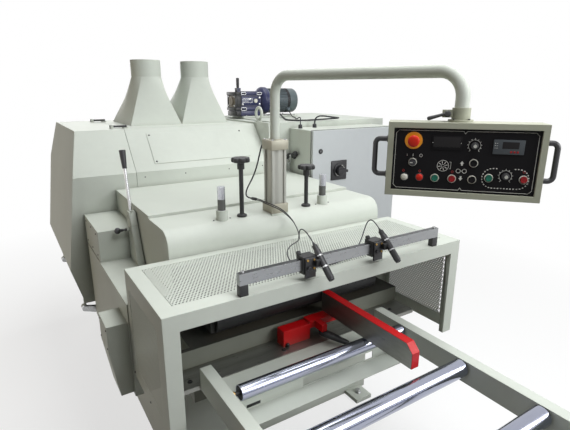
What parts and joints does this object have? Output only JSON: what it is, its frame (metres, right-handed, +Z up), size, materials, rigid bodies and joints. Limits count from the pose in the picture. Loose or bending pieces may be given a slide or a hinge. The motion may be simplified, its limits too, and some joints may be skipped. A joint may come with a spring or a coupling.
{
  "type": "multi-rip saw",
  "caption": "Multi-rip saw with a roller infeed table, mesh guard, laser bar, lifting feed roller, dust hood, hinged end cover, swinging control pendant and electrical cabinet.",
  "frame": {"origin": "centre of the pedestal's floor anchor pattern, at floor level", "axes": "+Y along the feed, from the infeed table to the outlet; +X across the machine to the cabinet; +Z up"},
  "size_m": [2.547, 3.5739, 2.132],
  "materials": {
    "paint": "semi-gloss off-white machine paint",
    "cabinet_paint": "light grey textured paint",
    "dark_steel": "ground steel, oiled",
    "steel": "machined steel",
    "chrome": "hard chrome",
    "cylinder": "anodised aluminium",
    "black_metal": "black oxide",
    "black_plastic": "moulded black",
    "red_paint": "gloss red paint",
    "navy_paint": "dark blue paint",
    "motor_paint": "grey paint",
    "iron": "bare casting",
    "rubber": "cable sheath",
    "red_plastic": "moulded red",
    "green_plastic": "moulded green",
    "white_plastic": "moulded white",
    "panel": "printed black film"
  },
  "bodies": {
    "machine": {"arbor_bearings": "iron", "base_pedestal": "paint", "beam_cover": "paint", "bed_plate": "dark_steel", "bed_table": "paint", "cabinet_body": "cabinet_paint", "cover_hinges": "paint", "drive_housing": "paint", "left_dust_chute": "paint", "right_dust_chute": "paint", "eye_bolt": "paint", "feed_gearbox": "navy_paint", "feed_motor": "motor_paint", "hood_shell": "paint", "infeed_frame": "paint", "infeed_guard": "paint", "laser_bar": "steel", "lift_cylinder": "cylinder", "main_motor": "motor_paint", "screwed_covers": "paint", "side_frames": "paint", "laser_wiring": "rubber", "motor_cables": "rubber"},
    "infeed_roller_rear": {"infeed_roller_rear": "chrome"},
    "infeed_roller_middle": {"infeed_roller_middle": "chrome"},
    "infeed_roller_front": {"infeed_roller_front": "chrome"},
    "laser_left": {"laser_left": "black_plastic"},
    "laser_right": {"laser_right": "black_plastic"},
    "fence_lever": {"fence_lever": "black_plastic"},
    "upper_feed_roller": {"upper_feed_roller": "black_metal"},
    "stop_screw_left": {"stop_screw_left": "black_metal"},
    "stop_screw_right": {"stop_screw_right": "black_metal"},
    "end_cover": {"end_cover": "paint"},
    "latch_front": {"latch_front": "steel"},
    "latch_rear": {"latch_rear": "steel"},
    "pendant_arm": {"pendant_arm": "paint"},
    "clamp_lever": {"clamp_lever": "black_plastic"},
    "emergency_stop": {"emergency_stop": "red_plastic"},
    "start_button": {"start_button": "green_plastic"},
    "halt_button": {"halt_button": "red_plastic"},
    "raise_button": {"raise_button": "white_plastic"},
    "lower_button": {"lower_button": "white_plastic"},
    "feed_start_button": {"feed_start_button": "green_plastic"},
    "feed_halt_button": {"feed_halt_button": "red_plastic"},
    "selector_switch": {"selector_switch": "black_plastic"},
    "spindle_speed_knob": {"spindle_speed_knob": "black_plastic"},
    "feed_speed_knob": {"feed_speed_knob": "black_plastic"},
    "cabinet_door": {"cabinet_door": "cabinet_paint"},
    "main_switch": {"main_switch": "black_plastic"},
    "speed_lever": {"speed_lever": "black_plastic"},
    "height_lever": {"height_lever": "chrome"},
    "lock_knob": {"lock_knob": "black_plastic"},
    "fence_unit": {"fence": "steel", "fence_bracket": "red_paint"},
    "press": {"press_frame": "paint", "press_rods": "chrome"},
    "arbor": {"arbor_shaft": "steel", "saw_blades": "steel"},
    "pendant": {"pendant_box": "paint", "pendant_panel": "panel"}
  },
  "joints": [
    {"name": "infeed_roller_rear_spin", "type": "hinge", "parent": "machine", "child": "infeed_roller_rear", "pos_m": [-0.118, -1.556, 0.79825], "axis": [1, 0, 0], "continuous": true},
    {"name": "infeed_roller_middle_spin", "type": "hinge", "parent": "machine", "child": "infeed_roller_middle", "pos_m": [-0.118, -1.9, 0.792], "axis": [1, 0, 0], "continuous": true},
    {"name": "infeed_roller_front_spin", "type": "hinge", "parent": "machine", "child": "infeed_roller_front", "pos_m": [-0.118, -2.244, 0.792], "axis": [1, 0, 0], "continuous": true},
    {"name": "laser_left_slide", "type": "slide", "parent": "machine", "child": "laser_left", "axis": [1, 0, 0], "range_m": [-0.06, 0.06]},
    {"name": "laser_right_slide", "type": "slide", "parent": "machine", "child": "laser_right", "axis": [1, 0, 0], "range_m": [-0.06, 0.06]},
    {"name": "fence_slide", "type": "slide", "parent": "machine", "child": "fence_unit", "axis": [1, 0, 0], "range_m": [-0.45, 0.18]},
    {"name": "fence_lever_turn", "type": "hinge", "parent": "fence_unit", "child": "fence_lever", "pos_m": [0.011, -1.352, 0.79], "axis": [0, 0, 1], "range_deg": [-40, 20]},
    {"name": "press_lift", "type": "slide", "parent": "machine", "child": "press", "axis": [0, 0, 1], "range_m": [0, 0.11]},
    {"name": "upper_feed_roller_spin", "type": "hinge", "parent": "press", "child": "upper_feed_roller", "pos_m": [-0.008, -1.16, 0.925], "axis": [1, 0, 0], "continuous": true},
    {"name": "stop_screw_left_turn", "type": "hinge", "parent": "machine", "child": "stop_screw_left", "pos_m": [-0.204, -0.947, 1.4], "axis": [0, 0, 1], "continuous": true},
    {"name": "stop_screw_right_turn", "type": "hinge", "parent": "machine", "child": "stop_screw_right", "pos_m": [0.188, -0.947, 1.4], "axis": [0, 0, 1], "continuous": true},
    {"name": "end_cover_hinge", "type": "hinge", "parent": "machine", "child": "end_cover", "pos_m": [-0.878, 0.5, 0.59], "axis": [0, -1, 0], "range_deg": [0, 95]},
    {"name": "latch_front_hinge", "type": "hinge", "parent": "end_cover", "child": "latch_front", "pos_m": [-0.545, 0.263, 1.688], "axis": [0, -1, 0], "range_deg": [0, 110]},
    {"name": "latch_rear_hinge", "type": "hinge", "parent": "end_cover", "child": "latch_rear", "pos_m": [-0.545, 0.966, 1.688], "axis": [0, -1, 0], "range_deg": [0, 110]},
    {"name": "arbor_spin", "type": "hinge", "parent": "machine", "child": "arbor", "pos_m": [0, 0.5, 0.9995], "axis": [1, 0, 0], "continuous": true},
    {"name": "pendant_arm_swing", "type": "hinge", "parent": "machine", "child": "pendant_arm", "pos_m": [-0.008, -0.947, 1.7], "axis": [0, 0, 1], "range_deg": [-70, 45]},
    {"name": "pendant_turn", "type": "hinge", "parent": "pendant_arm", "child": "pendant", "pos_m": [0.18831, -1.87854, 1.85], "axis": [0, 0, 1], "range_deg": [-90, 90]},
    {"name": "clamp_lever_turn", "type": "hinge", "parent": "pendant", "child": "clamp_lever", "pos_m": [0.13665, -1.86213, 1.848], "axis": [0.7373, 0.6756, 0], "range_deg": [0, 70]},
    {"name": "emergency_stop_push", "type": "slide", "parent": "pendant", "child": "emergency_stop", "axis": [0.7373, 0.6756, 0], "range_m": [0, 0.006]},
    {"name": "start_button_push", "type": "slide", "parent": "pendant", "child": "start_button", "axis": [0.7373, 0.6756, 0], "range_m": [0, 0.003], "stiffness_N_per_m": 600},
    {"name": "halt_button_push", "type": "slide", "parent": "pendant", "child": "halt_button", "axis": [0.7373, 0.6756, 0], "range_m": [0, 0.003], "stiffness_N_per_m": 600},
    {"name": "raise_button_push", "type": "slide", "parent": "pendant", "child": "raise_button", "axis": [0.7373, 0.6756, 0], "range_m": [0, 0.003], "stiffness_N_per_m": 600},
    {"name": "lower_button_push", "type": "slide", "parent": "pendant", "child": "lower_button", "axis": [0.7373, 0.6756, 0], "range_m": [0, 0.003], "stiffness_N_per_m": 600},
    {"name": "feed_start_button_push", "type": "slide", "parent": "pendant", "child": "feed_start_button", "axis": [0.7373, 0.6756, 0], "range_m": [0, 0.003], "stiffness_N_per_m": 600},
    {"name": "feed_halt_button_push", "type": "slide", "parent": "pendant", "child": "feed_halt_button", "axis": [0.7373, 0.6756, 0], "range_m": [0, 0.003], "stiffness_N_per_m": 600},
    {"name": "selector_turn", "type": "hinge", "parent": "pendant", "child": "selector_switch", "pos_m": [0.04206, -1.80775, 1.681], "axis": [0.7373, 0.6756, 0], "range_deg": [-45, 45]},
    {"name": "spindle_speed_turn", "type": "hinge", "parent": "pendant", "child": "spindle_speed_knob", "pos_m": [0.1765, -1.95446, 1.745], "axis": [0.7373, 0.6756, 0], "range_deg": [-140, 140]},
    {"name": "feed_speed_turn", "type": "hinge", "parent": "pendant", "child": "feed_speed_knob", "pos_m": [0.24946, -2.03409, 1.645], "axis": [0.7373, 0.6756, 0], "range_deg": [-140, 140]},
    {"name": "cabinet_door_hinge", "type": "hinge", "parent": "machine", "child": "cabinet_door", "pos_m": [1.493, -0.329, 0.9], "axis": [0, 0, 1], "range_deg": [0, 110]},
    {"name": "main_switch_turn", "type": "hinge", "parent": "cabinet_door", "child": "main_switch", "pos_m": [0.904, -0.36, 1.353], "axis": [0, 1, 0], "range_deg": [0, 90]},
    {"name": "speed_lever_tilt", "type": "hinge", "parent": "machine", "child": "speed_lever", "pos_m": [0.581, 0.64, 1.922], "axis": [0, 1, 0], "range_deg": [-25, 25]},
    {"name": "height_lever_tilt", "type": "hinge", "parent": "machine", "child": "height_lever", "pos_m": [-0.64, -0.489, 1.266], "axis": [1, 0, 0], "range_deg": [-20, 25]},
    {"name": "lock_knob_pull", "type": "slide", "parent": "machine", "child": "lock_knob", "axis": [-1, 0, 0], "range_m": [0, 0.012], "stiffness_N_per_m": 500}
  ]
}
